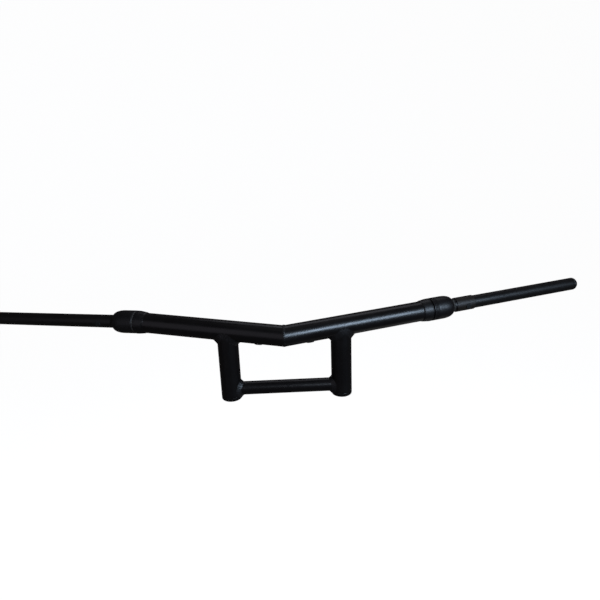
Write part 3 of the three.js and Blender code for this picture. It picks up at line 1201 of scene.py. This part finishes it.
@dataclass
class Collars(SubAssembly):
    """The domed collars, the tapered skirts behind them, and the welds at both their ends."""

    shoulder: float = 18.0
    mouth: float = 2.0
    joint_round: float = 1.1
    skirt_taper: float = 11.0
    skirt_lip: float = 1.0
    skirt_back: float = 1.25
    mark_start: float = 3.0
    mark_pitch: float = 1.6
    mark_count: int = 4
    mark_depth: float = 0.35
    joint_width: float = 3.6
    joint_depth: float = 2.2
    skirt_bead: Bead = Bead(leg=2.4, fullness=0.8, lift=0.1, ripple=0.12, pitch=2.2)
    control_bead: Bead = Bead(leg=4.6, fullness=1.0, lift=0.2, ripple=0.2, pitch=2.4)

    def build(self) -> None:
        """Makes both collars with their skirts and welds."""
        for side in Side:
            self.collar(side)
            self.skirt(side)
            self.welds(side)
        self.joint_bead()

    @property
    def outer(self) -> float:
        """A collar's radius."""
        return self.sizes.main_od / 2 + self.sizes.collar_wall

    def collar(self, side: Side) -> None:
        """Makes a collar: a socket whose outer end is a quarter ellipse down to its mouth.

        Args:
            side: The half of the bar.
        """
        sizes = self.sizes
        bore = sizes.main_od / 2 + sizes.gap
        mouth = sizes.control_od / 2 + sizes.gap
        face = sizes.collar_length
        end_wall = face - sizes.collar_end_wall + sizes.gap
        turn = np.linspace(0.0, np.pi / 2, DOME_STEPS)
        lip = sizes.control_od / 2 + self.mouth
        dome = np.column_stack(
            [
                lip + (self.outer - lip) * np.cos(turn),
                face - self.shoulder + self.shoulder * np.sin(turn),
            ]
        )
        socket = outline(
            [
                (mouth, face, 0.4),
                (mouth, end_wall, 0.3),
                (bore, end_wall, 0.5),
                (bore, sizes.gap, 0.3),
                (self.outer, sizes.gap, self.joint_round),
                *self._turning_marks(side),
                (self.outer, face - self.shoulder - 0.5, 0.0),
            ],
            closed=False,
        )
        section = np.concatenate([socket[:-1], spaced(dome)])
        grid = turned(self.layout.control(side), section)
        finish = self.finishes.dome if side is Side.LEFT else self.finishes.turned_coat
        self.fine(f"collar_{side.label}", grid, finish, Slot.COAT)

    def _turning_marks(self, side: Side) -> list[tuple[float, float, float]]:
        """Draws the fine grooves that turning left next to the right collar's joint.

        Args:
            side: The half of the bar.

        Returns:
            Each corner's radius, height and rounding; the left collar has none.
        """
        if side is Side.LEFT:
            return []
        depth, width = self.mark_depth, self.mark_pitch / 2
        starts = [self.mark_start + number * self.mark_pitch for number in range(self.mark_count)]
        return [
            (self.outer - dip, start + step, 0.0)
            for start in starts
            for dip, step in ((0.0, 0.0), (depth, width / 2), (0.0, width))
        ]

    def joint_bead(self) -> None:
        """Makes the bead that fills the left joint: a ring of lens-shaped section, whose pale grey is
        partly a scuffed coat and partly a painted highlight.
        """
        middle = -self.skirt_back / 2
        half = self.joint_width / 2
        deep = self.outer - self.joint_depth
        section = outline(
            [
                (deep, middle - half, 0.2),
                (self.outer - 0.5, middle - half, 0.6),
                (self.outer + 0.1, middle, 1.2),
                (self.outer - 0.5, middle + half, 0.6),
                (deep, middle + half, 0.2),
            ],
            closed=True,
        )
        grid = turned(self.layout.control(Side.LEFT), section)
        # The bead's pale grey paints part of the ring's highlight into its colour.
        self.dress(make_piece("joint_bead_left", grid), self.finishes.scuffed_weld_and_highlight, Slot.WELD)

    def skirt(self, side: Side) -> None:
        """Makes a skirt: a ring that tapers from the collar's width to the main tube's.

        Args:
            side: The half of the bar.
        """
        sizes = self.sizes
        bore = sizes.main_od / 2 + sizes.gap
        back = sizes.arm_length - sizes.collar_length
        start = back - sizes.skirt_length
        section = outline(
            [
                (bore, start, 0.2),
                (sizes.main_od / 2 + self.skirt_lip, start, 0.4),
                (self.outer, start + self.skirt_taper, 4.0),
                (self.outer, back - self.skirt_back, self.joint_round),
                (bore, back - self.skirt_back, 0.3),
            ],
            closed=True,
        )
        grid = turned(self.layout.arm(side), section)
        self.fine(f"collar_skirt_{side.label}", grid, self.finishes.turned_coat, Slot.COAT)

    def welds(self, side: Side) -> None:
        """Makes the bead at the skirt's thin edge and the band at the control tube's root.

        Args:
            side: The half of the bar.
        """
        sizes = self.sizes
        start = sizes.arm_length - sizes.collar_length - sizes.skirt_length
        grid = self.skirt_bead.ring(
            self.layout.arm(side), sizes.main_od / 2, start, -1.0, self.skirt_lip
        )
        name = f"skirt_weld_{side.label}"
        self.fine(name, grid, self.finishes.coat, Slot.WELD)
        grid = self.control_bead.ring(
            self.layout.control(side), sizes.control_od / 2, sizes.collar_length, 1.0, 1.8
        )
        finish = self.finishes.scuffed_weld_and_highlight if side is Side.RIGHT else self.finishes.weld
        name = f"control_weld_{side.label}"
        self.fine(name, grid, finish, Slot.WELD)


@dataclass
class ControlTubes(SubAssembly):
    """The control tubes, the right one's sleeve, and the plugs in their ends."""

    edge: float = 0.7
    sleeve_from: float = 8.0
    sleeve_to: float = 43.0
    plug_stem: float = 22.0
    plug_dome: float = 5.5
    rib_places: tuple[float, ...] = (5.0, 10.0, 15.0)
    rib_length: float = 2.0
    rib_depth: float = 0.8

    def build(self) -> None:
        """Makes both tubes, both plugs and the sleeve."""
        for side in Side:
            self.tube(side)
            self.plug(side)
        self.sleeve()

    def tube(self, side: Side) -> None:
        """Makes a control tube: a turned wall.

        Args:
            side: The half of the bar.
        """
        sizes = self.sizes
        start = sizes.collar_length - sizes.control_insert
        end = sizes.collar_length + sizes.control_length - sizes.plug_head - sizes.gap
        section = tube_outline(sizes.control_od / 2, sizes.control_wall, start, end, self.edge)
        grid = turned(self.layout.control(side), section)
        self.fine(f"control_tube_{side.label}", grid, self.finishes.control_coat, Slot.COAT)

    def sleeve(self) -> None:
        """Makes the short sleeve on the right control tube, with its outer end feathered."""
        sizes = self.sizes
        inner = sizes.control_od / 2 + sizes.gap
        start = sizes.collar_length + self.sleeve_from
        end = sizes.collar_length + self.sleeve_to
        outer = inner + sizes.sleeve_wall
        section = outline(
            [(inner, start, 0.1), (outer, start, 0.4), (outer, end, 1.5), (inner, end, 0.1)],
            closed=True,
        )
        grid = turned(self.layout.control(Side.RIGHT), section)
        self.fine("control_sleeve_right", grid, self.finishes.sleeve, Slot.COAT)

    def plug(self, side: Side) -> None:
        """Makes an end plug: a ribbed stem, a head as wide as the tube and a domed end.

        Args:
            side: The half of the bar.
        """
        sizes = self.sizes
        end = sizes.collar_length + sizes.control_length
        head = end - sizes.plug_head
        outer = sizes.control_od / 2
        stem = outer - sizes.control_wall - sizes.gap
        ribs = [
            corner
            for rib in self.rib_places
            for corner in (
                (stem, head - rib - self.rib_length, 0.3),
                (stem - self.rib_depth, head - rib, 0.3),
            )
        ]
        corners = [
            (0.0, head - self.plug_stem, 0.0),
            (stem - 1.2, head - self.plug_stem, 0.5),
            *reversed(ribs),
            (stem, head, 0.1),
            (outer, head, 0.9),
            (outer, end - self.plug_dome, 2.0),
            (outer - 3.4, end - 0.5, 2.5),
            (0.0, end, 0.0),
        ]
        name = f"end_plug_{side.label}"
        grid = turned(self.layout.control(side), outline(corners, closed=False))
        self.fine(name, grid, self.finishes.nylon, Slot.PLASTIC, Ends.POLES)


@dataclass(frozen=True)
class GrommetSizes:
    """One kind of grommet: its place along the tube, its turn down from the front, its shape."""

    place: float
    turn: float
    hole: float
    lip: float
    height: float


@dataclass
class Grommets(SubAssembly):
    """The rubber blanking grommets in the wiring holes."""

    control: GrommetSizes = GrommetSizes(place=29.0, turn=10.0, hole=7.0, lip=1.6, height=1.2)
    main: GrommetSizes = GrommetSizes(place=42.0, turn=90.0, hole=10.0, lip=1.8, height=1.5)
    stem_depth: float = 2.4
    play: float = 0.05
    longest_step: float = 0.6

    def build(self) -> None:
        """Makes the four grommets."""
        sizes = self.sizes
        for side in Side:
            seat = sizes.control_od / 2
            if side is Side.RIGHT:
                seat += sizes.gap + sizes.sleeve_wall
            place = sizes.collar_length + self.control.place
            axis = self.layout.control(side)
            self.grommet(f"control_grommet_{side.label}", axis, place, seat, self.control)
            axis, seat = self.layout.arm(side), sizes.main_od / 2
            self.grommet(f"main_grommet_{side.label}", axis, self.main.place, seat, self.main)

    def grommet(
        self, name: str, axis: Axis, place: float, seat: float, shape: GrommetSizes
    ) -> None:
        """Makes a grommet whose flange hugs the tube.

        Its section is turned about a line out of the tube. Each point is then lowered by how far
        the tube's round surface falls away under it: the seat's radius, less the square root of
        that radius squared minus the point's distance aside squared.

        Args:
            name: The node that it replaces.
            axis: The tube's axis.
            place: Where the hole is along the tube.
            seat: The radius that the flange sits on.
            shape: The grommet's sizes.
        """
        angle = math.radians(shape.turn)
        outwards = np.array([0.0, -math.cos(angle), -math.sin(angle)])
        outwards = unit(outwards - (outwards @ axis.along) * axis.along)
        bore = shape.hole / 2
        wide = bore + shape.lip
        bottom, base, top = seat - self.stem_depth, seat + self.play, seat + shape.height
        middle = axis.origin + place * axis.along
        line = Axis(middle, outwards, axis.along, np.cross(outwards, axis.along))
        section = outline(
            [
                (0.0, bottom, 0.0),
                (bore - 0.5, bottom, 0.4),
                (bore - 0.5, base, 0.1),
                (wide, base, 0.2),
                (wide, seat + shape.height * 0.7, 0.6),
                (bore, top, 0.6),
                (bore - 1.0, top - 0.5, 0.4),
                (0.0, top - 0.4, 0.0),
            ],
            closed=False,
        )
        grid = turned(line, spaced(section, self.longest_step))
        aside = (grid - middle) @ line.over
        fall = seat - np.sqrt(seat**2 - np.clip(aside**2, 0.0, seat**2 * 0.9))
        grid = grid - fall[..., None] * outwards
        self.fine(name, grid, self.finishes.rubber, Slot.RUBBER, Ends.POLES)


# ---- Studio ----


@dataclass(frozen=True)
class SoftBox:
    """A soft rectangular light that faces the bar."""

    name: str
    azimuth: float
    elevation: float
    distance: float
    width: float
    height: float
    power: float
    colour: str = "#ffffff"

    def build(self, aim: Vector) -> None:
        """Hangs the light round the point that it faces.

        Args:
            aim: That point, in metres.
        """
        light = bpy.data.lights.new(self.name, "AREA")
        light.shape = "RECTANGLE"
        light.size, light.size_y = self.width, self.height
        light.energy = self.power
        light.color = linear(self.colour)[:3]
        back = bearing(self.azimuth, self.elevation)
        lamp = bpy.data.objects.new(self.name, light)
        lamp.location = aim + back * self.distance
        lamp.rotation_euler = back.to_track_quat("Z", "Y").to_euler()
        lamp.visible_camera = False
        bpy.context.scene.collection.objects.link(lamp)


@dataclass(frozen=True)
class Studio:
    """The camera, the pale floor with its surround, and the soft lights."""

    azimuth: float = -0.885
    elevation: float = 16.81
    roll: float = -2.151
    distance: float = 799.3
    aim: tuple[float, float, float] = (27.23, -25.86, 173.94)
    lens: float = 31.2
    sensor: float = 36.0
    clip: tuple[float, float] = (0.05, 200.0)
    floor_drop: float = 1.6
    tent_radius: float = 7.0
    tent_height: float = 9.0
    tent_glow: float = 0.93
    room_light: float = 0.036
    lit_point: tuple[float, float, float] = (0.0, 0.0, 0.12)

    def camera(self) -> None:
        """Makes the camera: on a line back from its aim, and rolled about it."""
        azimuth, roll = math.radians(self.azimuth), math.radians(self.roll)
        back = bearing(self.azimuth, self.elevation)
        right = Vector((math.cos(azimuth), math.sin(azimuth), 0.0))
        over = back.cross(right)
        tilted = math.cos(roll) * right + math.sin(roll) * over
        upright = math.cos(roll) * over - math.sin(roll) * right
        data = bpy.data.cameras.new("camera")
        data.lens = self.lens
        data.sensor_width = self.sensor
        data.clip_start, data.clip_end = self.clip
        camera = bpy.data.objects.new("camera", data)
        place = (Vector(self.aim) + back * self.distance) * MM
        turn = Matrix((tilted, upright, back)).transposed().to_4x4()
        camera.matrix_world = Matrix.Translation(place) @ turn
        bpy.context.scene.collection.objects.link(camera)
        bpy.context.scene.camera = camera

    def floor(self) -> None:
        """Lays a flat pale floor under the bar, which curves up and over it as a light tent.

        Each of the tent's rings has a radius and a height that follow a superellipse: the
        radius is the cosine and the height the sine of the same angle, each to the power of
        0.5, so that the floor is flat and the corner is a wide curve.
        """
        turn = np.linspace(-np.pi / 2, np.pi / 2, TENT_STEPS + 1)[:, None]
        around = once_round(TENT_STEPS)[None, :]
        radius = self.tent_radius * np.sqrt(np.cos(turn).clip(0.0))
        middle = self.tent_height / 2 - self.floor_drop
        height = middle + self.tent_height / 2 * np.sign(turn) * np.sqrt(np.abs(np.sin(turn)))
        grid = np.stack(
            np.broadcast_arrays(radius * np.cos(around), radius * np.sin(around), height), axis=-1
        )
        tent = make_piece("floor", grid / MM, Ends.POLES)
        material, tree = new_material("matt pale studio paper")
        paper = {
            "Base Color": linear("#f2f2f2"),
            "Roughness": 0.9,
            "Emission Color": linear("#ffffff"),
            "Emission Strength": self.tent_glow,
        }
        shader = add_node(tree, "BsdfPrincipled", {}, paper)
        add_node(tree, "OutputMaterial", {}, {"Surface": shader.outputs[0]})
        tent.data.materials.append(material)
        tent.visible_glossy = False
        tent.visible_diffuse = False
        tent.visible_shadow = False

    def lights(self) -> None:
        """Sets a dim even surround and the soft boxes."""
        world = bpy.data.worlds.new("dim studio")
        bpy.context.scene.world = world
        world.use_nodes = True
        tree = world.node_tree
        tree.nodes.clear()
        room = {"Color": linear("#fff6f2"), "Strength": self.room_light}
        surround = add_node(tree, "Background", {}, room)
        add_node(tree, "OutputWorld", {}, {"Surface": surround.outputs[0]})
        # Azimuth, elevation, distance, width, height and power, and a colour if it isn't white.
        for box in (
            SoftBox("key window", 38.0, 21.0, 1.9, 0.9, 0.6, 27.0, "#cfe6ff"),
            SoftBox("front fill", 11.0, 24.0, 2.2, 0.5, 0.7, 1.6, "#eef3ff"),
            SoftBox("left fill", -38.0, 12.0, 2.2, 1.7, 1.9, 3.0, "#f4eeff"),
            SoftBox("top fill", 0.0, 85.0, 2.6, 2.0, 1.2, 0.8),
            SoftBox("back fill", 165.0, 55.0, 2.2, 1.8, 0.8, 3.5, "#f2f4ff"),
            SoftBox("low fill", 120.0, -60.0, 2.2, 1.4, 1.0, 0.8),
        ):
            box.build(Vector(self.lit_point))
        bpy.context.scene.view_settings.view_transform = "Standard"


def write_sizes() -> None:
    """Brings the scene's placements up to date."""
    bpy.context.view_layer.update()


def main() -> None:
    """Builds the studio and then every sub-assembly, in order."""
    logging.basicConfig(level=logging.INFO, format="%(message)s")
    studio = Studio()
    studio.camera()
    studio.floor()
    studio.lights()
    layout = Layout(BarSizes())
    finishes = Finishes()
    for kind in (MainTubes, Risers, Brace, Collars, ControlTubes, Grommets):
        group = kind(layout, finishes)
        group.build()
        LOG.info("%s: %d pieces", kind.__name__, len(group.made))
    write_sizes()


if __name__ == "__main__":
    main()
